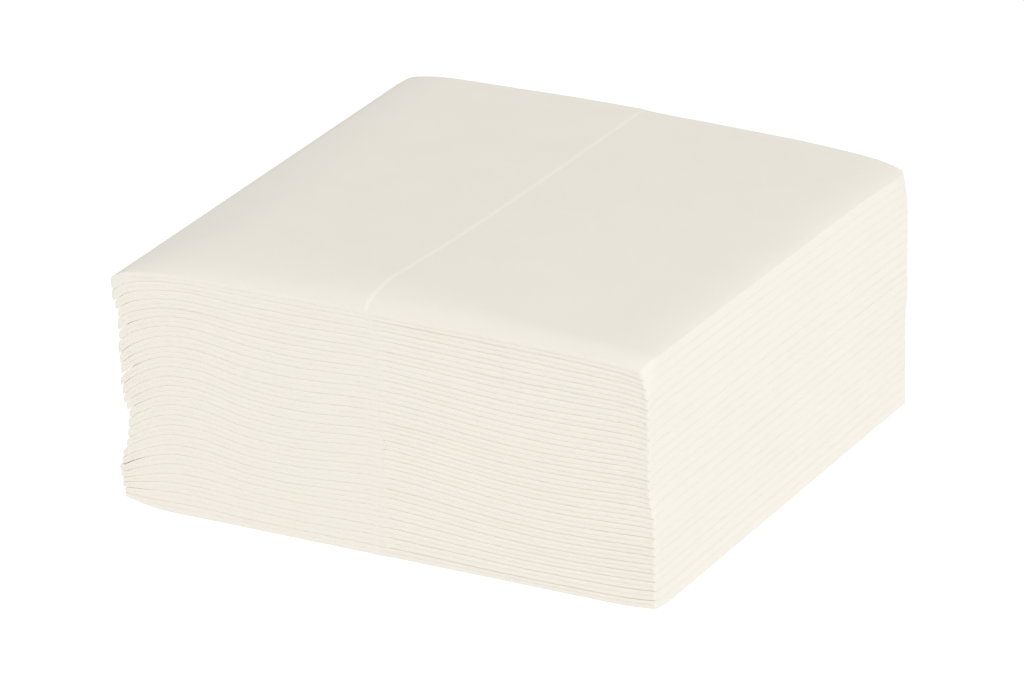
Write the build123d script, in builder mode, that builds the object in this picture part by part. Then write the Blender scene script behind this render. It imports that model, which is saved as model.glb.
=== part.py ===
"""Stack of z-fold paper towels.

Soft sheets, each folded on its own into half panel, full panel and half panel, lie one on the other.
Seen from the front, a towel is a flattened Z. Its upper half panel lies on the left, its full panel
runs from the left fold to the right fold, and its lower half panel lies on the right. Both half panels
end at the middle of the towel, where the full panel climbs from the lower layer to the upper one, so
every towel is two sheets thick on both sides.

Frame: origin at the middle of the base, +X across the folds, +Y along them, +Z up. Sizes in millimetres.
"""

import os

from build123d import *

# Driving dimensions
towel_count = 25
folded_width = 120.0  # from the left folds to the right folds
sheet_length = 115.0  # along the folds, from one cut end to the other
sheet_thickness = 0.98  # soft paper, as it lies in the stack
sheet_gap = 0.12  # air between two sheets that lie on each other

# The folds and the middle, where the half panels end
fold_bulge = 0.66  # how far a fold stands out past the flat of its two sheets
fold_straight = 0.4  # the least straight length of a sheet beside its fold
climb_run = 1.4  # the full panel climbs one layer over this length
cut_clearance = 0.2  # from the cut edge of a half panel to the climb

# How the pile has settled
left_drop = 2.2  # the top of the pile droops this much at the left folds
right_drop = 4.0  # and this much at the right folds
drop_run = 16.0  # the droop starts this far from the folds
left_sag = 2.8  # the middle layers hang this much lower still at the left folds
swell_height = 1.2  # and stand this much proud further in
swell_place = 17.0  # the middle of that swell, from the left folds
swell_run = 15.0  # from the middle of the swell to its end
least_bow = 0.06  # a stretch of sheet that bows less than this is straight

# How unevenly the towels were laid
left_stagger = 0.5  # the most that a left fold lies back from its side of the stack
left_recess = 1.5  # the left folds below the middle of the stack lie back this much more
recess_height = 22.0  # the height at which they do
recess_run = 11.0  # from there up, or down, to the end of the recess
right_stagger = 0.3  # the most that a right fold lies back from its side of the stack
lean = 1.4  # the right fold of the top towel lies back this much more
lean_height = 9.0  # from the top down to where the lean begins
end_stagger = 0.15  # the most that a towel is slid along its folds
stagger_jump = 0.618  # the share of the stagger that is added from each towel to the next

# Sizes that follow
layer_pitch = sheet_thickness + sheet_gap
stack_height = 2 * towel_count * layer_pitch - sheet_gap
half_width = folded_width / 2
climb_half = climb_run / 2
cut_place = climb_half + cut_clearance

# Where the arcs of a sheet begin and end, from the side of the stack
furthest_back = max(left_stagger + left_recess, right_stagger + lean)
first_bend = sheet_thickness + furthest_back + fold_straight
swell_side = swell_place + swell_run / 2
left_bends = [first_bend, swell_place, swell_side, swell_place + swell_run]
right_bends = [first_bend, drop_run]


def droop(distance):
    """1 at a fold, and falling smoothly to 0 at the end of the droop's run."""
    return max(0.0, 1 - distance / drop_run) ** 2


def swell(distance, place, run):
    """1 at its place, and falling smoothly to 0 at both its ends."""
    return max(0.0, 1 - ((distance - place) / run) ** 2) ** 2


def settled(level, x):
    """The height at x of a surface that would lie at this level in a flat pile."""
    from_left, from_right = half_width + x, half_width - x
    share = level / stack_height
    drop = left_drop * droop(from_left) + right_drop * droop(from_right)
    wave = swell_height * swell(from_left, swell_place, swell_run) - left_sag * droop(from_left)
    return level - drop * share + 4 * wave * share * (1 - share)


def point(level, x):
    return (x, settled(level, x))


def stretch(level, start, end):
    """A stretch of one surface of a sheet: an arc, or a line where the pile lies flat."""
    first, middle, last = [point(level, x) for x in (start, (start + end) / 2, end)]
    bow = middle[1] - (first[1] + last[1]) / 2
    if abs(bow) < least_bow:
        Line(first, last)
    else:
        ThreePointArc(first, middle, last)


def sheet_line(level, middle, fold):
    """One surface of a sheet, from its fold to the middle of the towel."""
    if fold < 0:
        bends = [distance - half_width for distance in left_bends]
    else:
        bends = [half_width - distance for distance in right_bends]
    Line(point(level, fold), point(level, bends[0]))
    for start, end in zip(bends, bends[1:]):
        stretch(level, start, end)
    Line(point(level, bends[-1]), point(level, middle))


def fold_line(low, high, x, out):
    """The outside of a fold, from the sheet below it to the sheet above it."""
    bottom, top = point(low, x), point(high, x)
    ThreePointArc(bottom, (x + out, (bottom[1] + top[1]) / 2), top)


def stagger(number, jumps):
    """A share from 0 to 1 that jumps about from towel to towel, and is 0 for the bottom one."""
    return jumps * stagger_jump * number % 1


def make_towel(number):
    """One folded towel, counted from 0 at the bottom of the stack."""
    lower = 2 * number * layer_pitch
    upper = lower + layer_pitch
    lower_top = lower + sheet_thickness
    upper_top = upper + sheet_thickness

    left = fold_bulge - half_width + left_stagger * stagger(number, 1)
    left += left_recess * swell(lower, recess_height, recess_run)
    right = half_width - fold_bulge - right_stagger * stagger(number, 2)
    right -= lean * max(0.0, 1 - (stack_height - upper_top) / lean_height)
    middle = (left + right) / 2
    slide = end_stagger * (2 * stagger(number, 3) - 1)

    # Inside a fold the two sheets part at a crease, one sheet in from the outside
    left_crease = left - fold_bulge + sheet_thickness
    right_crease = right + fold_bulge - sheet_thickness

    with BuildPart() as towel:
        with BuildSketch(Plane.XZ.offset(slide - sheet_length / 2)):
            with BuildLine():
                # Upper half panel, on the left
                left_cut = middle - cut_place
                sheet_line(upper_top, left_cut, left)
                sheet_line(upper, left_cut, left_crease)
                Line(point(upper, left_cut), point(upper_top, left_cut))
                # Left fold
                fold_line(lower, upper_top, left, -fold_bulge)
                Line(point(lower_top, left_crease), point(upper, left_crease))
                # Full panel, with its climb in the middle
                climb_start, climb_end = middle - climb_half, middle + climb_half
                sheet_line(lower, climb_start, left)
                sheet_line(lower_top, climb_start, left_crease)
                Line(point(lower, climb_start), point(upper, climb_end))
                Line(point(lower_top, climb_start), point(upper_top, climb_end))
                sheet_line(upper, climb_end, right_crease)
                sheet_line(upper_top, climb_end, right)
                # Right fold
                fold_line(lower, upper_top, right, fold_bulge)
                Line(point(lower_top, right_crease), point(upper, right_crease))
                # Lower half panel, on the right
                right_cut = middle + cut_place
                sheet_line(lower_top, right_cut, right_crease)
                sheet_line(lower, right_cut, right)
                Line(point(lower, right_cut), point(lower_top, right_cut))
            make_face()
        extrude(amount=sheet_length)
    return towel.part


os.makedirs("parts", exist_ok=True)
for number in range(towel_count):
    towel = make_towel(number)
    towel.label = f"towel_{number + 1:02d}"
    export_step(towel, f"parts/{towel.label}.step")
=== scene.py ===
# %% [markdown]
# # A stack of z-fold paper towels
#
# The object is a pile of soft, cream-white paper towels. Each towel is one sheet, folded by itself into
# half panel, full panel and half panel, and the towels lie loosely on each other. In this lesson one
# sheet is cut flat, given its thickness and soft edges, and then folded, piled and settled by moving its
# points. That follows the way the real stack is made, and it keeps every sheet one closed piece.

# %% Load the frame
import math

import bpy
import numpy as np
from mathutils import Matrix, Vector


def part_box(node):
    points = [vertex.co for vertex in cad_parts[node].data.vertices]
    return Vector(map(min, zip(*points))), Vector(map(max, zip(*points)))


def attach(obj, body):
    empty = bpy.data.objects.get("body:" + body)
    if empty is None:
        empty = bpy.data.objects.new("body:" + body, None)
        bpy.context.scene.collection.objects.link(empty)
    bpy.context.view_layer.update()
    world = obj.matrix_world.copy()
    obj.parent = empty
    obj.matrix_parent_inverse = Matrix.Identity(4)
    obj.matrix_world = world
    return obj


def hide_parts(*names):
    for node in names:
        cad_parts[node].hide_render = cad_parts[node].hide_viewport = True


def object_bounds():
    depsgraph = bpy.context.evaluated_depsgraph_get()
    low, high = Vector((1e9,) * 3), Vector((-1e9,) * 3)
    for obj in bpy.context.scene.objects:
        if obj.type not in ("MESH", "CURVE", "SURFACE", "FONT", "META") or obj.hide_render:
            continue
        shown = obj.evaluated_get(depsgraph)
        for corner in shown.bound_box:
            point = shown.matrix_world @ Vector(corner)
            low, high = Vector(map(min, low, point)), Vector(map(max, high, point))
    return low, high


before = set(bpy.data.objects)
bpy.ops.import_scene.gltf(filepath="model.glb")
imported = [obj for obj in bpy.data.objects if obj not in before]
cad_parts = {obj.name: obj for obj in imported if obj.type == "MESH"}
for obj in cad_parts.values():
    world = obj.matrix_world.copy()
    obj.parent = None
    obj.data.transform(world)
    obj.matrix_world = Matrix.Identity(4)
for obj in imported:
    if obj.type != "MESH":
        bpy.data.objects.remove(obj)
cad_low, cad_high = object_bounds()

MM = 0.001
towel_nodes = sorted(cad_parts)
TOWELS = len(towel_nodes)
bpy.ops.object.select_all(action="DESELECT")
print(f"{TOWELS} towels in a box of {[round(side / MM, 1) for side in cad_high - cad_low]} mm")

# %% [markdown]
# ## The camera
#
# The photograph was taken with a long lens from the front right, a little above the stack, and it is
# tilted by a degree or two. A camera can be aimed with a constraint, but a tilt is easier to give as a
# matrix: its columns are the directions to the camera's right, up and back.

# %% Place the camera
IMAGE_WIDTH = 1024  # pixels
FOCAL_PIXELS = 5098.0  # the focal length, in pixels of the photograph
SENSOR = 36.0  # the sensor's width, in millimetres
AZIMUTH = math.radians(29.14)
ELEVATION = math.radians(22.04)
ROLL = math.radians(-1.47)
DISTANCE = 1040.9 * MM
AIM = Vector((-2.05, 0, 24.3)) * MM

bpy.ops.object.camera_add()
camera = bpy.context.object
camera.name = "photo_camera"
camera.data.sensor_width = SENSOR
camera.data.lens = FOCAL_PIXELS * SENSOR / IMAGE_WIDTH
back = Vector((
    math.sin(AZIMUTH) * math.cos(ELEVATION),
    -math.cos(AZIMUTH) * math.cos(ELEVATION),
    math.sin(ELEVATION),
))
level_right = Vector((math.cos(AZIMUTH), math.sin(AZIMUTH), 0))
level_up = back.cross(level_right)
right = math.cos(ROLL) * level_right + math.sin(ROLL) * level_up
up = math.cos(ROLL) * level_up - math.sin(ROLL) * level_right
facing = Matrix((right, up, back)).transposed().to_4x4()
camera.matrix_world = Matrix.Translation(AIM + back * DISTANCE) @ facing
bpy.context.scene.camera = camera
print(f"lens {camera.data.lens:.0f} mm, {DISTANCE / MM:.0f} mm from the stack")

# %% [markdown]
# ## One flat sheet
#
# Before it is folded a towel is a plain rectangle of thick soft paper. It starts as a grid primitive at
# its flat size. A cloth simulation could fold it later, but the pile is pressed flat, so folding by rule
# gives a cleaner stack, and a grid is all that the rule needs.

# %% Cut the sheet
SHEET_WIDTH = 240 * MM
SHEET_LENGTH = 115 * MM
COLUMNS, ROWS = 120, 16

bpy.ops.mesh.primitive_grid_add(x_subdivisions=COLUMNS, y_subdivisions=ROWS, size=1)
flat_sheet = bpy.context.object
flat_sheet.name = "flat_sheet"
flat_sheet.scale = (SHEET_WIDTH, SHEET_LENGTH, 1)
bpy.ops.object.transform_apply(location=False, rotation=False, scale=True)
print(f"sheet of {SHEET_WIDTH / MM:.0f} by {SHEET_LENGTH / MM:.0f} mm")

# %% [markdown]
# ## Finer strips where the paper bends
#
# The real paper turns round its folds and is soft at its cuts, so the grid needs more columns at the
# folds, in the middle and at the cut edges, and more rows at the two cut ends. A finer grid all over
# would be simpler, but most of its faces would be wasted. Instead the edges that cross a strip are
# selected by their place and subdivided.

# %% Subdivide a strip
X_AXIS, Y_AXIS = 0, 1


def cross_strip(sheet, axis, start, end, cuts):
    """Subdivides the edges that run along an axis between two places on it."""
    bpy.ops.object.mode_set(mode="EDIT")
    bpy.ops.mesh.select_mode(type="EDGE")
    bpy.ops.mesh.select_all(action="DESELECT")
    bpy.ops.object.mode_set(mode="OBJECT")
    points = sheet.data.vertices
    for edge in sheet.data.edges:
        one, other = (points[i].co for i in edge.vertices)
        along = abs(one[axis] - other[axis]) > abs(one[1 - axis] - other[1 - axis])
        edge.select = along and start < (one[axis] + other[axis]) / 2 < end
    bpy.ops.object.mode_set(mode="EDIT")
    bpy.ops.mesh.subdivide(number_cuts=cuts)
    bpy.ops.object.mode_set(mode="OBJECT")


column, row = SHEET_WIDTH / COLUMNS, SHEET_LENGTH / ROWS
print(f"columns of {column / MM:.1f} mm and rows of {row / MM:.1f} mm")

# %% Add the columns and rows
left_fold, right_fold = -SHEET_WIDTH / 4, SHEET_WIDTH / 4
# The middle of each strip, the columns that it reaches to both sides, and the cuts across each of them
column_strips = [
    (left_fold, 8, 1),
    (left_fold, 2, 3),
    (right_fold, 2, 7),
    (0, 1, 3),
    (0, 1 / 4, 4),
    (-SHEET_WIDTH / 2, 2, 3),
    (SHEET_WIDTH / 2, 2, 3),
]
for middle, reach, cuts in column_strips:
    cross_strip(flat_sheet, X_AXIS, middle - reach * column, middle + reach * column, cuts)

ROW_CUTS, FRONT_END_CUTS, BACK_END_CUTS = 6, 1, 2
fine_row = row / (ROW_CUTS + 1)
front_end, back_end = -SHEET_LENGTH / 2, SHEET_LENGTH / 2
cross_strip(flat_sheet, Y_AXIS, front_end, front_end + 2 * row, ROW_CUTS)
cross_strip(flat_sheet, Y_AXIS, front_end, front_end + 2 * fine_row, FRONT_END_CUTS)
cross_strip(flat_sheet, Y_AXIS, back_end - row, back_end, ROW_CUTS)
cross_strip(flat_sheet, Y_AXIS, back_end - fine_row, back_end, BACK_END_CUTS)
print(f"grid of {len(flat_sheet.data.polygons)} faces")

# %% [markdown]
# ## Thick paper with soft edges
#
# Paper of this kind is thick and full of air, and its cut edges are never sharp. Extruding the grid would
# give it a thickness too, but the Solidify modifier keeps the points evenly on both sides of the grid,
# which the folding relies on. Bevel then rounds the cut edges.

# %% Thickness and soft edges
SHEET_THICKNESS = 1.0 * MM
SOFT_EDGE = 0.3 * MM
SOFT_EDGE_SEGMENTS = 2
EDGE_ANGLE = math.radians(60)

thicken = flat_sheet.modifiers.new("paper_thickness", "SOLIDIFY")
thicken.thickness = SHEET_THICKNESS
thicken.offset = 0
soften = flat_sheet.modifiers.new("soft_cut_edges", "BEVEL")
soften.width = SOFT_EDGE
soften.segments = SOFT_EDGE_SEGMENTS
soften.limit_method = "ANGLE"
soften.angle_limit = EDGE_ANGLE
for modifier in (thicken.name, soften.name):
    bpy.ops.object.modifier_apply(modifier=modifier)
print(f"flat sheet: {len(flat_sheet.data.polygons)} faces")

# %% [markdown]
# ## How the pile has settled
#
# A pile of soft paper is never a block. Its top droops at the sides and at the front, its middle layers
# hang and swell, and its base lifts a little at the corners. A sculpting brush could do this by hand, but
# not to fifty layers at once. Here it is one function, put together in the next cells: it takes a share
# of the pile's height and a place on the stack, and gives the height there. Neighbouring sheets use the
# same function, so they bend together.

# %% Droops and swells
HALF_WIDTH = (cad_high.x - cad_low.x) / 2
HALF_LENGTH = (cad_high.y - cad_low.y) / 2
HEIGHT = cad_high.z - cad_low.z


def droop(distance, run, power=2, most=1):
    """1 at the side of the stack, falling smoothly to 0 where the droop begins."""
    return np.clip(1 - distance / run, 0, most) ** power


def swell(distance, place, run):
    """1 in the middle of a swell, falling smoothly to 0 at its ends."""
    return np.clip(1 - ((distance - place) / run) ** 2, 0, 1) ** 2


def smooth_step(value):
    """0 below 0 and 1 above 1, with a smooth rise between."""
    value = np.clip(value, 0, 1)
    return value * value * (3 - 2 * value)


print(f"pile of {HEIGHT / MM:.1f} mm, {HEIGHT / TOWELS / MM:.2f} mm a towel")

# %% [markdown]
# ## The sides of the top
#
# At the left the folds are pressed together, so the top droops far in, and more at the front than at the
# back. At the right it slopes gently to its edge and turns down only there. Two droops of different reach
# for each side give that more simply than a drawn curve would.

# %% The droop at the sides
# How far down a droop goes, how far in it begins, and the power that bends it
LEFT_DROP, LEFT_TWIST, LEFT_RUN = 2.3 * MM, 2.1 * MM, 22 * MM
LEFT_ROUNDING, LEFT_ROUNDING_RUN = 1.2 * MM, 4 * MM
RIGHT_DROP, RIGHT_RUN, RIGHT_POWER = 1.4 * MM, 14 * MM, 4.0
RIGHT_SLOPE, RIGHT_SLOPE_RUN, RIGHT_SLOPE_POWER = 1.8 * MM, 46 * MM, 1.6


def side_drop(from_left, from_right, y):
    """How far the top lies lower because of its two sides."""
    left_drop = LEFT_DROP - LEFT_TWIST * y / HALF_LENGTH
    drop = left_drop * droop(from_left, LEFT_RUN)
    drop = drop + LEFT_ROUNDING * droop(from_left, LEFT_ROUNDING_RUN)
    drop = drop + RIGHT_DROP * droop(from_right, RIGHT_RUN, RIGHT_POWER)
    return drop + RIGHT_SLOPE * droop(from_right, RIGHT_SLOPE_RUN, RIGHT_SLOPE_POWER)


print(f"right edge {side_drop(2 * HALF_WIDTH, 0, 0) / MM:.1f} mm lower than the middle")

# %% [markdown]
# ## The front of the top
#
# The cut ends are softer than the rest of a sheet, so the top rolls over at the front. On the left it
# does so in a long curve and stands a little high behind it, and on the right the whole top slopes to the
# front and turns down in a short curve. Two curves could be joined in the middle, but one droop whose
# depth and run change slowly from left to right shows no joint.

# %% The droop at the front
# The long curve, the roll at its edge, the change to the right, and the tilt of the top behind it
FRONT_DROP, FRONT_LEFT_RUN, FRONT_RIGHT_RUN = 2.7 * MM, 19 * MM, 4 * MM
FRONT_ROLL, FRONT_ROLL_RUN = 0.8 * MM, 4 * MM
FRONT_DROP_CHANGE, CHANGE_REACH = 2.0 * MM, 45 * MM
FRONT_RISE, FRONT_SINK, FRONT_TILT_RUN = 0.9 * MM, 1.3 * MM, 115 * MM
PAST_EDGE = 2  # some sheets stand out at the front, and the droop goes on past the edge of the stack


def front_drop(x, from_front):
    """How far the top lies lower because of its front."""
    to_right = smooth_step(0.5 + 0.5 * x / CHANGE_REACH)
    right_half = smooth_step(x / CHANGE_REACH)
    left_half = smooth_step(0.5 - x / HALF_WIDTH)
    run = FRONT_LEFT_RUN + (FRONT_RIGHT_RUN - FRONT_LEFT_RUN) * to_right
    drop = (FRONT_DROP - FRONT_DROP_CHANGE * right_half) * droop(from_front, run, most=PAST_EDGE)
    drop = drop + FRONT_ROLL * droop(from_front, FRONT_ROLL_RUN, most=PAST_EDGE)
    tilt = FRONT_SINK * right_half - FRONT_RISE * left_half
    return drop + tilt * droop(from_front, FRONT_TILT_RUN)


for side_name, x in (("left", -HALF_WIDTH / 2), ("right", HALF_WIDTH / 2)):
    print(f"front edge on the {side_name}: {front_drop(x, 0) / MM:.1f} mm lower")

# %% [markdown]
# ## The back of the top
#
# Towards the back the top rises in a low crown, highest left of the middle, and its right corner is
# pressed down. Proportional editing could raise it by hand. Both forms are as soft as the droops, so they
# are made from the same functions instead.

# %% The crown at the back
# The rise at the back edge, the crown across it, and the pressed corner
BACK_RISE, BACK_RUN, BACK_POWER = 1.6 * MM, 80 * MM, 1.5
CROWN_PLACE, CROWN_REACH, CROWN_LEAST = -25 * MM, 53 * MM, 0.31
CROWN_LEFT_RUN = 14 * MM
BACK_CORNER_DROP, BACK_CORNER_RUN, BACK_CORNER_POWER = 0.9 * MM, 26 * MM, 1.5


def back_rise(x, from_left, from_right, from_back):
    """How far the top lies higher because of its back."""
    crown = CROWN_LEAST + (1 - CROWN_LEAST) * swell(np.maximum(x, CROWN_PLACE), CROWN_PLACE, CROWN_REACH)
    crown = crown * (1 - droop(from_left, CROWN_LEFT_RUN))
    corner = droop(from_right, BACK_CORNER_RUN, BACK_CORNER_POWER)
    corner = corner * droop(from_back, BACK_CORNER_RUN, BACK_CORNER_POWER)
    return BACK_RISE * droop(from_back, BACK_RUN, BACK_POWER) * crown - BACK_CORNER_DROP * corner


print(f"back edge {back_rise(0, HALF_WIDTH, HALF_WIDTH, 0) / MM:.1f} mm higher in the middle")

# %% [markdown]
# ## The layers below the top
#
# Half way up, the layers hang at the left folds, swell beside them and sink in long waves further right.
# At the base they lift off the floor at the left folds and at the near right corner. Lattices could bend
# each layer so, but a share of the height does it for all of them: the waves fade to nothing at the floor
# and at the top, and the lift fades upwards. With that the function is complete.

# %% The settled pile
# Waves of the middle layers: height, distance of the middle from the left folds, and half length
WAVES = [(0.9 * MM, 16 * MM, 14 * MM), (-1.4 * MM, 38 * MM, 21 * MM), (-2.4 * MM, 96 * MM, 36 * MM)]
# How far the layers hang or lift, and how far in
LEFT_HANG, LEFT_HANG_RUN = 4.2 * MM, 13 * MM
BASE_LIFT, BASE_LIFT_RUN = 1.5 * MM, 11 * MM
CORNER_LIFT, CORNER_RUN = 0.7 * MM, 9 * MM
LIFT_POWER = 4  # the lift is nearly gone by the middle of the pile
RIGHT_CORNER_SHARE = 0.95  # how much of the front's droop is left at the right edge


def settled(share, x, y):
    """The height of a surface at this share of the pile."""
    from_left, from_right = HALF_WIDTH + x, HALF_WIDTH - x
    from_front, from_back = HALF_LENGTH + y, HALF_LENGTH - y
    right_share = droop(from_right, RIGHT_RUN, RIGHT_POWER)
    corner_share = (1 - droop(from_left, LEFT_RUN)) * (1 - (1 - RIGHT_CORNER_SHARE) * right_share)
    drop = side_drop(from_left, from_right, y) + front_drop(x, from_front) * corner_share
    drop = drop - back_rise(x, from_left, from_right, from_back)
    wave = sum(height * swell(from_left, place, run) for height, place, run in WAVES)
    wave = wave - LEFT_HANG * droop(from_left, LEFT_HANG_RUN)
    lift = BASE_LIFT * droop(from_left, BASE_LIFT_RUN)
    lift = lift + CORNER_LIFT * droop(from_right, CORNER_RUN) * droop(from_front, CORNER_RUN)
    return share * (HEIGHT - drop) + 4 * wave * share * (1 - share) + lift * (1 - share) ** LIFT_POWER


print(f"near right corner of the top at {settled(1, HALF_WIDTH, -HALF_LENGTH) / MM:.1f} mm")

# %% [markdown]
# ## Uneven towels
#
# No two towels are quite as thick, and each is thicker in some places than in others. A displaced texture
# could show that, but then neighbours would cut into each other. So every towel gets its bulk from slow
# waves, and the bulks below a place are added up and scaled to the height of the pile there.

# %% Shares of the height
PILE_SEED = 7
# Shares of a towel's thickness
THICKNESS_SPREAD = 0.07
BULK_WAVE_X, BULK_WAVE_Y = 0.05, 0.03
SHORTEST_WAVE, LONGEST_WAVE = 60 * MM, 150 * MM
LEFT_UNEVENNESS, LEFT_UNEVEN_RUN = 0.2, 14 * MM

unevenness = np.random.default_rng(PILE_SEED)
towel_bulk = 1 + THICKNESS_SPREAD * unevenness.uniform(-1, 1, TOWELS)
wave_phase = unevenness.uniform(0, 2 * math.pi, (TOWELS, 2))
wave_length = unevenness.uniform(SHORTEST_WAVE, LONGEST_WAVE, (TOWELS, 2))
left_bulk = unevenness.uniform(-1, 1, TOWELS)


def pile_shares(x, y):
    """For each towel boundary, its share of the height of the pile at these places."""
    shares = [np.zeros_like(x)]
    for towel in range(TOWELS):
        angle_x = 2 * math.pi * x / wave_length[towel, 0] + wave_phase[towel, 0]
        angle_y = 2 * math.pi * y / wave_length[towel, 1] + wave_phase[towel, 1]
        bulk = towel_bulk[towel] + BULK_WAVE_X * np.sin(angle_x) + BULK_WAVE_Y * np.sin(angle_y)
        bulk = bulk + LEFT_UNEVENNESS * left_bulk[towel] * droop(HALF_WIDTH + x, LEFT_UNEVEN_RUN)
        shares.append(shares[-1] + bulk)
    return [share / shares[-1] for share in shares]


print(f"bulk of the towels from {towel_bulk.min():.2f} to {towel_bulk.max():.2f}")

# %% [markdown]
# ## Folding a towel
#
# Seen from the front a folded towel is a flattened Z. The point at a distance along the flat sheet first
# goes left along the upper half panel, round the left fold, right along the full panel, round the right
# fold and back along the lower half panel. Armature bones or a Simple Deform could turn the panels too,
# but a rule that says where each distance goes keeps the panels exactly one sheet apart.

# %% Panels and folds
TOWEL_HEIGHT = HEIGHT / TOWELS
BOUNDARY_GAP = 0.003 * MM  # air between two towels
INNER_GAP = 0.002 * MM  # air between the two sheets of a towel
# The parts of a towel along the flat sheet. Part 2 is the full panel, and part 4 the lower half panel
UPPER_PANEL, AT_LEFT_FOLD, AT_RIGHT_FOLD = 0, 1, 3
sheet_step = (TOWEL_HEIGHT - BOUNDARY_GAP + INNER_GAP) / 2
paper_depth = sheet_step - INNER_GAP
fold_radius = sheet_step / 2
fold_arc = math.pi * fold_radius
half_panel = SHEET_WIDTH / 4 - fold_arc / 2


def panel_places(along):
    """Which part of the towel each point goes to, and how far along that part it lies."""
    full_end = SHEET_WIDTH * 3 / 4 - fold_arc / 2
    full_start = half_panel + fold_arc
    ends = [half_panel, full_start, full_end, full_end + fold_arc]
    lengths = [half_panel, fold_arc, full_end - full_start, fold_arc, half_panel]
    panel = np.searchsorted(ends, along)
    return panel, (along - np.array([0, *ends])[panel]) / np.array(lengths)[panel]


print(f"half panels of {half_panel / MM:.1f} mm, folds of {2 * fold_radius / MM:.1f} mm")

# %% [markdown]
# ## Pressed folds
#
# The folds are pressed, so they are squarer than half circles: a power of the sine and cosine does that.
# The right folds are the squarest, and the top one is a little rounder. Bevelled boxes would look much
# the same from outside, but they would not be folded paper.

# %% Round a fold
LEFT_SQUARENESS, RIGHT_SQUARENESS, TOP_SQUARENESS = 4.0, 60.0, 16.0  # 2 is a circle


def squarish(value, squareness):
    """A sine or cosine, bent so that it runs round a square instead of a circle."""
    return np.sign(value) * np.abs(value) ** (2 / squareness)


def fold_turn(panel, share, on_top):
    """How far out and how far up a point lies on its way round a fold."""
    squareness = np.where(panel == AT_LEFT_FOLD, LEFT_SQUARENESS, RIGHT_SQUARENESS)
    if on_top:
        squareness = np.where((panel == AT_RIGHT_FOLD) & (share < 0.5), TOP_SQUARENESS, squareness)
    angle = math.pi * share
    return squarish(np.sin(angle), squareness), squarish(np.cos(angle), squareness)


at_45_degrees = squarish(math.sin(math.pi / 4), LEFT_SQUARENESS)
print(f"at 45 degrees a left fold is {at_45_degrees:.2f} of its radius out")

# %% [markdown]
# ## The section of a towel
#
# In the middle the full panel climbs by one sheet between the two cut edges, which are pressed slantwise
# against it. The right folds have a faint crease half way up. The section could be drawn as a curve and
# extruded, but here each point of the flat sheet keeps its place in the mesh, so both sides of the paper
# and its soft edges come along.

# %% The folded section
RIGHT_CREASE, CREASE_SHARE = 0.05 * MM, 0.15
CLIMB_HALF = 0.2 * MM
CUT_GAP = 0.004 * MM
CUT_SLANT_RUN = 3 * MM
CUT_EDGE = 0.06  # how much of the soft cut edge is left where it is pressed against the climb
cut_band = 1.1 * SOFT_EDGE  # the points of a soft cut edge lie within this of the cut


def folded_section(panel, share, side, left_tip, right_tip, middle_shift, on_top):
    """Where points of the flat sheet go: x, and the height within the towel."""
    left = left_tip + fold_radius + SHEET_THICKNESS / 2
    right_side = right_tip - fold_radius - SHEET_THICKNESS / 2
    middle = (left + right_side) / 2 + middle_shift
    out, rise = fold_turn(panel, share, on_top)
    crease = RIGHT_CREASE * np.clip(1 - np.abs(share - 0.5) / CREASE_SHARE, 0, 1)
    from_cut = np.choose(panel, [share, 1, 1, 1, 1 - share]) * half_panel
    from_cut = np.where(from_cut < cut_band, (0 if on_top else CUT_EDGE) * from_cut, from_cut)
    slant = np.clip(1 - from_cut / CUT_SLANT_RUN, 0, 1) * CLIMB_HALF * side / (SHEET_THICKNESS / 2)
    left_cut, right_cut = middle - CUT_GAP, middle + CUT_GAP
    full_x = left + (right_side - left) * share + middle_shift * (1 - np.abs(2 * share - 1))
    x = np.choose(panel, [
        left_cut + (left - left_cut) * from_cut / half_panel + slant,
        left - (fold_radius + side) * out,
        full_x,
        right_side + (fold_radius - side) * out - crease,
        right_cut + (right_side - right_cut) * from_cut / half_panel + slant,
    ])
    climb = np.clip((full_x - middle + CLIMB_HALF) / (2 * CLIMB_HALF), 0, 1)
    depth = side * paper_depth / SHEET_THICKNESS
    z = np.choose(panel, [
        fold_radius + depth,
        (fold_radius + depth) * rise,
        sheet_step * climb - fold_radius - depth,
        (fold_radius - depth) * rise,
        depth - fold_radius,
    ])
    return x, z + TOWEL_HEIGHT / 2


print(f"the full panel climbs {sheet_step / MM:.2f} mm over {2 * CLIMB_HALF / MM:.1f} mm")

# %% [markdown]
# ## Sides out of true
#
# The towels weren't laid exactly above each other. On the left the top ones and some near the base stand
# out. On the right the upper ones are turned a little about the upright, the corners of the top ones are
# pushed in, and one towel lies back at its far end. Moving whole objects would be quicker, but the sheets
# bend as well as slide.

# %% Where the folds lie
# How far the folds stand out or lie back, and from which towel on or over how many towels
LEFT_OVERHANG, OVERHANG_TOWELS = 1.1 * MM, 3
LEFT_BASE_OVERHANG, BASE_TOWEL, BASE_TOWELS = 1.2 * MM, 4.8, 6.5
RIGHT_STAGGER = 0.035 * MM
SET_BACK_TOWEL, SET_BACK, SET_BACK_POWER = 14, 0.1 * MM, 3
RIGHT_LEAN, LEAN_TOWELS, LEAN_POWER = 0.3 * MM, 3.2, 1.3
FRONT_LEAN, BACK_LEAN, END_LEAN_RUN = 1.2 * MM, 0.9 * MM, 6 * MM
RIGHT_TURN, RIGHT_SHIFT, TURN_START, TURN_TOWELS = 0.65 * MM, 0.25 * MM, 9.5, 3.0
BASE_OUT, BASE_OUT_TOWELS = 0.05 * MM, 3


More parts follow.
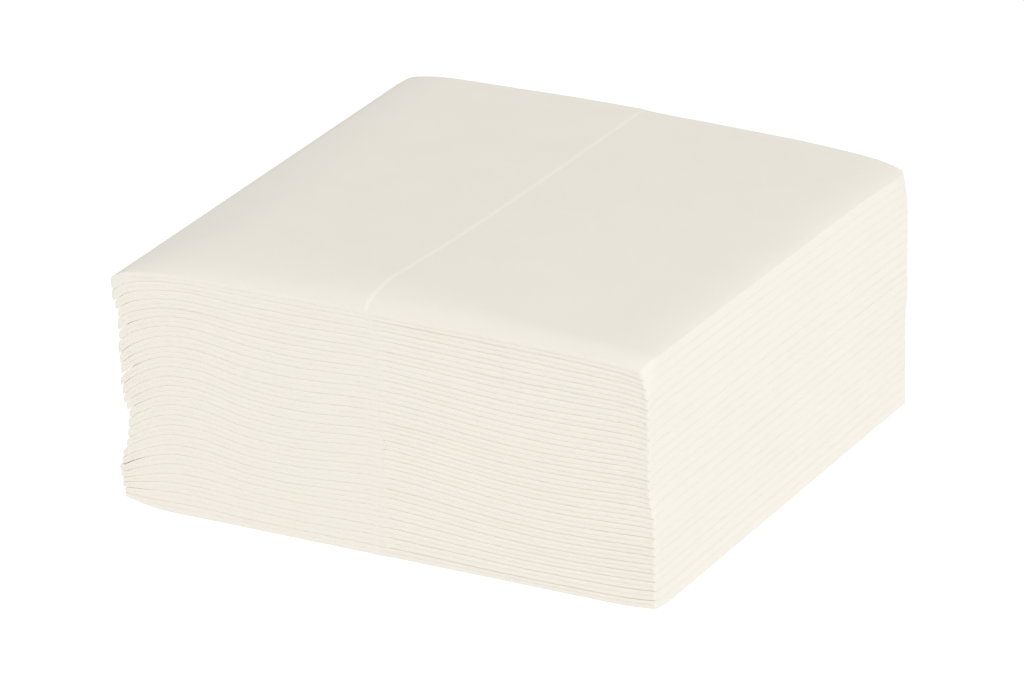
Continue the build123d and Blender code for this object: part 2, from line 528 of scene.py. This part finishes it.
def fold_tips(number, cad_left, flat_y, chance):
    """How far out the left and the right fold of a towel reach."""
    left_tip = cad_left - LEFT_OVERHANG * droop(TOWELS - 1 - number, OVERHANG_TOWELS, 1)
    left_tip = left_tip - LEFT_BASE_OVERHANG * swell(number, BASE_TOWEL, BASE_TOWELS)
    right_tip = cad_high.x - RIGHT_STAGGER * chance.uniform(0, 2)
    if number == SET_BACK_TOWEL:
        right_tip = right_tip - SET_BACK * np.clip(flat_y / HALF_LENGTH, 0, 1) ** SET_BACK_POWER
    return left_tip, right_tip


def right_shift(level, y):
    """How far the right side lies out of true at a level, counted in towels."""
    lean = RIGHT_LEAN + FRONT_LEAN * droop(HALF_LENGTH + y, END_LEAN_RUN)
    lean = lean + BACK_LEAN * droop(HALF_LENGTH - y, END_LEAN_RUN)
    lean = lean * droop(TOWELS - level, LEAN_TOWELS, LEAN_POWER)
    turned = smooth_step((level - TURN_START) / TURN_TOWELS)
    base = BASE_OUT * droop(level, BASE_OUT_TOWELS)
    return turned * (RIGHT_TURN * y / HALF_LENGTH - RIGHT_SHIFT) - lean + base


print(f"near right corner of the top pushed in by {-right_shift(TOWELS, -HALF_LENGTH) / MM:.1f} mm")

# %% [markdown]
# ## Cut ends
#
# At the front and the back every layer shows its cut end. The soft edges there are pressed shallow, most
# of all inside a towel, and they waver a little. The half panels are never folded quite square, so each
# turns a little about its fold, and near the top the sheets stand out at the front. Noise on a texture
# would look alike from afar, but the lines between the layers come from real edges here.

# %% Where the cut ends lie
OUTER_EDGES, INNER_EDGES = (0.36, 0.9), (0.18, 0.35)  # left and right share of the soft edge that is left
SEAM_RUN = 2.5 * MM  # beside the middle the ends are pressed flat
SLIDE_SHARE = 0.35  # of the way that the CAD solid is slid along its folds
SKEW_SPREAD, LOWER_SKEW = 0.05 * MM, -0.5
END_WAVER = 0.035 * MM
WAVER_LENGTHS = (1.7 * MM, 4.1 * MM, 9.3 * MM)
FRONT_OVERHANG, FRONT_TOWELS = 0.4 * MM, 4.5
end_band = 1.5 * SOFT_EDGE  # the points of a soft cut end lie within this of the end


def pressed_ends(flat, x, middle_shift):
    """Places along the folds, with the soft edges of the cut ends pressed shallow."""
    flat_x, flat_y, side = flat.T
    from_end = SHEET_LENGTH / 2 - np.abs(flat_y)
    half = (x > 0).astype(int)
    pressed = np.where(side * flat_x > 0, np.take(INNER_EDGES, half), np.take(OUTER_EDGES, half))
    pressed = pressed * smooth_step(np.abs(x - middle_shift) / SEAM_RUN)
    from_end = np.where(from_end < end_band, pressed * from_end, from_end)
    return np.sign(flat_y) * (SHEET_LENGTH / 2 - from_end)


def uneven_ends(flat, panel, share, chance):
    """How far the skew of its half panel and the waver of the ends move a point along the folds."""
    turn = SKEW_SPREAD * chance.uniform(-1, 1, 2)
    skew = np.choose(panel, [turn[0] * (1 - share), 0, 0, 0, LOWER_SKEW * turn[1] * share])
    phases = chance.uniform(0, 2 * math.pi, len(WAVER_LENGTHS))
    along = flat[:, 0] + SHEET_WIDTH / 2
    waver = sum(np.sin(along / length + phase) for length, phase in zip(WAVER_LENGTHS, phases))
    return skew + END_WAVER / 2 * waver * np.abs(flat[:, 1]) / (SHEET_LENGTH / 2)


print(f"cut ends waver by up to {END_WAVER * len(WAVER_LENGTHS) / 2 / MM:.2f} mm")

# %% [markdown]
# ## The top half panel
#
# Nothing lies on the upper half panel of the top towel, so it swells beside its cut edge, and the edge
# shows as a fine bright line. The edge is not quite straight: it turns to the left near the front. A
# separate strip could stand for the line, but then the light wouldn't catch it as it does the edge of a
# sheet.

# %% The swollen edge
# Where the cut edge lies, how far it swells, and how far the swell reaches
FLAP_SHIFT, FLAP_FRONT_SHIFT, FLAP_FRONT_RUN = -0.4 * MM, -1.3 * MM, 45 * MM
FLAP_SWELL, FLAP_FRONT_SWELL, FLAP_LENGTH = 0.17 * MM, 0.2 * MM, 14 * MM
FLAP_WIDTH, FLAP_EDGE = 40 * MM, 0.5 * MM


def flap_shift(y):
    """How far the cut edge lies from the middle of the top towel."""
    return FLAP_SHIFT + FLAP_FRONT_SHIFT * droop(HALF_LENGTH + y, FLAP_FRONT_RUN)


def flap_swell(panel, share, side, y):
    """How far the top half panel swells up, from nothing on its underside."""
    swollen = FLAP_SWELL + FLAP_FRONT_SWELL * droop(HALF_LENGTH + y, FLAP_LENGTH)
    from_cut = share * SHEET_WIDTH / 4
    from_cut = np.where(from_cut < cut_band, 0, from_cut)
    swollen = swollen * droop(from_cut, FLAP_WIDTH) * smooth_step(from_cut / FLAP_EDGE)
    return np.where(panel == UPPER_PANEL, swollen * (side / SHEET_THICKNESS + 0.5), 0)


print(f"cut edge {-flap_shift(-HALF_LENGTH) / MM:.1f} mm left of the middle at the front")

# %% [markdown]
# ## One towel in its place
#
# Now a towel can be folded and settled: its points are sent round the folds, slid to where the towel
# lies, and raised to their height in the pile. Some towels are loose at the left fold and leave a gap
# under the next one, one of them most of all. It is the same for each towel, so one function does it.

# %% Fold and settle a towel
TOWEL_SEED = 100
LOOSE_SHARE, LOOSE_RUN = 0.12, 9 * MM
LOOSEST_TOWEL, LOOSEST = 15, 1.6

looseness = np.clip(unevenness.uniform(-1, 1, TOWELS), 0, 1)
looseness[LOOSEST_TOWEL] = LOOSEST


def fold_towel(number, flat):
    """The folded, piled and settled places of the flat sheet's points."""
    chance = np.random.default_rng(TOWEL_SEED + number)
    low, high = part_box(towel_nodes[number])
    flat_x, flat_y, side = flat.T
    on_top = number == TOWELS - 1
    middle_shift = flap_shift(flat_y) if on_top else np.zeros_like(flat_y)
    left_tip, right_tip = fold_tips(number, low.x, flat_y, chance)
    panel, share = panel_places(flat_x + SHEET_WIDTH / 2)
    x, z = folded_section(panel, share, side, left_tip, right_tip, middle_shift, on_top)
    within = z / TOWEL_HEIGHT
    x = x + right_shift(number + within, flat_y) * np.clip(x / HALF_WIDTH, 0, 1)
    y = SLIDE_SHARE * (low.y + high.y) / 2 + pressed_ends(flat, x, middle_shift)
    y = y + uneven_ends(flat, panel, share, chance)
    overhang = FRONT_OVERHANG * droop(TOWELS - number - within, FRONT_TOWELS)
    y = y - overhang * np.clip(-flat_y / HALF_LENGTH, 0, 1) ** 2
    shares = pile_shares(x, y)
    loose = LOOSE_SHARE * looseness[number] * droop(HALF_WIDTH + x, LOOSE_RUN)
    level = shares[number] + (shares[number + 1] - shares[number]) * within * (1 - loose)
    height = settled(level, x, y)
    if on_top:
        height = height + flap_swell(panel, share, side, y)
    return np.stack([x, y, height], axis=1)


print(f"{np.count_nonzero(looseness)} towels are loose at the left fold")

# %% [markdown]
# ## Piling the towels
#
# The flat sheet is copied once for each towel, each copy with its own mesh, and its points are moved to
# their places. An Array modifier would copy it too, but then all towels would be alike. The points of the
# cut ends are marked with an attribute, which the material reads to paint a faint warm shade on them, and
# the top towel keeps its cut edge crisp.

# %% Fold and pile
CRISP_ANGLE = math.radians(50)

flat_points = np.empty(len(flat_sheet.data.vertices) * 3)
flat_sheet.data.vertices.foreach_get("co", flat_points)
flat_points = flat_points.reshape(-1, 3)
# where the material paints a faint warm shade on the cut ends
at_cut_end = (np.abs(flat_points[:, 1]) > SHEET_LENGTH / 2 - end_band).astype(float)
towels = []
for number, node in enumerate(towel_nodes):
    towel = flat_sheet.copy()
    towel.data = flat_sheet.data.copy()
    towel.name = towel.data.name = f"folded_{node}"
    bpy.context.collection.objects.link(towel)
    towel.data.vertices.foreach_set("co", fold_towel(number, flat_points).ravel())
    towel.data.attributes.new("cut_end", "FLOAT", "POINT").data.foreach_set("value", at_cut_end)
    towel.data.update()
    towel.data.shade_smooth()
    towels.append(towel)
towels[-1].data.set_sharp_from_angle(angle=CRISP_ANGLE)
bpy.data.objects.remove(flat_sheet)
print(f"{len(towels)} towels folded")

# %% [markdown]
# ## Seating the towels on the frame
#
# Every towel takes the place of its CAD solid and rides with the only body. Hiding the solids by hand
# would do for one picture, but here each towel says which solid it stands for.

# %% Replace the CAD solids
for number, (towel, node) in enumerate(zip(towels, towel_nodes)):
    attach(towel, "root")
    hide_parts(node)
print(f"{len(towels)} CAD solids replaced")

# %% [markdown]
# ## Soft cream paper
#
# The paper is matt and almost white, with a little cream in it. Short fibres lie in all directions, so
# its surface has a fine grain and faint cloudy patches. A scanned texture could show them, but noise at
# three sizes has no seams at the folds. The cut ends get a trace of painted warm shade, for the light
# that is dimmed between the sheets there.

# %% Shader maths


class Wire:
    """A socket of a node tree that can be added and multiplied."""

    def __init__(self, tree, socket):
        self.tree, self.socket = tree, socket

    def node(self, kind, settings=None, out=0, **inputs):
        """Adds a node, sets it up and joins it, and gives the wire from one of its outputs."""
        made = self.tree.nodes.new(kind)
        for name, value in (settings or {}).items():
            setattr(made, name, value)
        for name, value in inputs.items():
            key = int(name[1:]) if name[1:].isdigit() else name.replace("_", " ")
            if isinstance(value, Wire):
                self.tree.links.new(value.socket, made.inputs[key])
            else:
                made.inputs[key].default_value = value
        return Wire(self.tree, made.outputs[out])

    def math(self, operation, first, second):
        return self.node("ShaderNodeMath", {"operation": operation}, i0=first, i1=second)

    def __add__(self, other):
        return self.math("ADD", self, other)

    __radd__ = __add__

    def __mul__(self, other):
        return self.math("MULTIPLY", self, other)

    __rmul__ = __mul__


print(Wire.__doc__)

# %% Paper material
CLOUDS = {"Scale": 90.0, "Detail": 3.0}
FIBRES = {"Scale": 1400.0, "Detail": 4.0, "Roughness": 0.6}
GRAIN = {"Scale": 5200.0, "Detail": 2.0}
CLOUD_TINT, FIBRE_TINT, GRAIN_TINT = 0.5, 0.35, 0.15
FIBRE_HEIGHT, GRAIN_HEIGHT = 0.7, 0.3
DEEP_CREAM, PALE_CREAM = (0.905, 0.868, 0.785, 1), (0.955, 0.925, 0.845, 1)
# painted warm shade multiplied into the cut ends, for the light dimmed in the crevices between the sheets
CUT_END_PAINTED_SHADE = (1.0, 0.985, 0.98, 1)
FIBRE_RELIEF, RELIEF_STRENGTH = 0.12 * MM, 0.4
LEAST_ROUGHNESS, ROUGHNESS_SPREAD = 0.84, 0.12
PAPER_SHINE = 0.15
OBJECT_PLACE, MIX_COLOUR, ATTRIBUTE_VALUE = 3, 2, 2  # numbers of the outputs that are used


def make_paper():
    """Matt cream paper with clouds, fibres and grain, and painted warm shade on the cut ends."""
    made = bpy.data.materials.new("soft_cream_paper")
    made.use_nodes = True
    tree = made.node_tree
    shader = tree.nodes["Principled BSDF"]
    start = Wire(tree, None)
    place = start.node("ShaderNodeTexCoord", out=OBJECT_PLACE)
    cloud = start.node("ShaderNodeTexNoise", Vector=place, **CLOUDS)
    fibre = start.node("ShaderNodeTexNoise", Vector=place, **FIBRES)
    grain = start.node("ShaderNodeTexNoise", Vector=place, **GRAIN)
    tint = cloud * CLOUD_TINT + fibre * FIBRE_TINT + grain * GRAIN_TINT
    # Input 0 of a colour Mix is its factor, and inputs 6 and 7 are its colours
    mix = {"data_type": "RGBA"}
    colour = start.node("ShaderNodeMix", mix, out=MIX_COLOUR, i0=tint, i6=DEEP_CREAM, i7=PALE_CREAM)
    cut_end = start.node("ShaderNodeAttribute", {"attribute_name": "cut_end"}, out=ATTRIBUTE_VALUE)
    # the marked cut ends are darkened a trace by the painted warm shade
    mix = {"data_type": "RGBA", "blend_type": "MULTIPLY"}
    colour = start.node("ShaderNodeMix", mix, out=MIX_COLOUR, i0=cut_end, i6=colour, i7=CUT_END_PAINTED_SHADE)
    height = fibre * FIBRE_HEIGHT + grain * GRAIN_HEIGHT
    relief = start.node("ShaderNodeBump", Height=height, Strength=RELIEF_STRENGTH, Distance=FIBRE_RELIEF)
    roughness = fibre * ROUGHNESS_SPREAD + LEAST_ROUGHNESS
    tree.links.new(colour.socket, shader.inputs["Base Color"])
    tree.links.new(relief.socket, shader.inputs["Normal"])
    tree.links.new(roughness.socket, shader.inputs["Roughness"])
    shader.inputs["Specular IOR Level"].default_value = PAPER_SHINE
    return made


paper = make_paper()
for towel in towels:
    towel.data.materials.clear()
    towel.data.materials.append(paper)
print(f"{paper.name}: {len(paper.node_tree.nodes)} nodes")

# %% [markdown]
# ## The floor
#
# The photograph is a bright studio shot on white, with hardly any shadow. A white floor under strong
# light could give that, but its shadow would stay. So the floor is grey and glows white by itself, and
# throws some of that light up on the sides of the stack.

# %% Studio floor
FLOOR_RADIUS, FLOOR_POINTS = 4.0, 96
FLOOR_GREY, FLOOR_GLOW = 0.15, 0.97
FLOOR_ROUGHNESS, FLOOR_SHINE = 0.9, 0.1

bpy.ops.mesh.primitive_circle_add(vertices=FLOOR_POINTS, radius=FLOOR_RADIUS, fill_type="NGON")
floor = bpy.context.object
floor.name = "studio_floor"
white = bpy.data.materials.new("studio_white")
white.use_nodes = True
floor_inputs = white.node_tree.nodes["Principled BSDF"].inputs
floor_inputs["Base Color"].default_value = (FLOOR_GREY, FLOOR_GREY, FLOOR_GREY, 1)
floor_inputs["Roughness"].default_value = FLOOR_ROUGHNESS
floor_inputs["Specular IOR Level"].default_value = FLOOR_SHINE
floor_inputs["Emission Color"].default_value = (1, 1, 1, 1)
floor_inputs["Emission Strength"].default_value = FLOOR_GLOW
floor.data.materials.append(white)
print(f"floor of {2 * FLOOR_RADIUS:.0f} m across")

# %% [markdown]
# ## The light
#
# A white world gives even light from all around. Two broad soft lamps shape it: one from the right makes
# the right side brightest, and one high in front lights the top and the front. Sun lamps would do it too,
# but their shadows between the layers would be harder.

# %% World and lamps
WORLD_STRENGTH = 0.43
LAMP_SIZE = 1.8
RIGHT_LAMP_PLACE, RIGHT_LAMP_POWER = Vector((2.4, 0.55, 0.55)), 13.3
FRONT_LAMP_PLACE, FRONT_LAMP_POWER = Vector((0.65, -1.4, 2.8)), 47.0
WARM_WHITE, PURE_WHITE = (1.0, 0.985, 0.935), (1.0, 1.0, 1.0)


def add_lamp(name, place, power, colour):
    """Adds a broad soft lamp that shines at the stack."""
    bpy.ops.object.light_add(type="AREA")
    lamp = bpy.context.object
    lamp.name = name
    lamp.data.size = LAMP_SIZE
    lamp.data.energy = power
    lamp.data.color = colour
    turn = (place - AIM).to_track_quat("Z", "Y").to_matrix().to_4x4()
    lamp.matrix_world = Matrix.Translation(place) @ turn


world = bpy.data.worlds.new("studio_world")
bpy.context.scene.world = world
world.use_nodes = True
world_inputs = world.node_tree.nodes["Background"].inputs
world_inputs["Color"].default_value = (1, 1, 1, 1)
world_inputs["Strength"].default_value = WORLD_STRENGTH
add_lamp("right_lamp", RIGHT_LAMP_PLACE, RIGHT_LAMP_POWER, WARM_WHITE)
add_lamp("front_lamp", FRONT_LAMP_PLACE, FRONT_LAMP_POWER, PURE_WHITE)
bpy.context.scene.view_settings.view_transform = "Standard"
print(f"world at {WORLD_STRENGTH}, lamps of {RIGHT_LAMP_POWER} and {FRONT_LAMP_POWER} W")

# %% [markdown]
# ## Finish
#
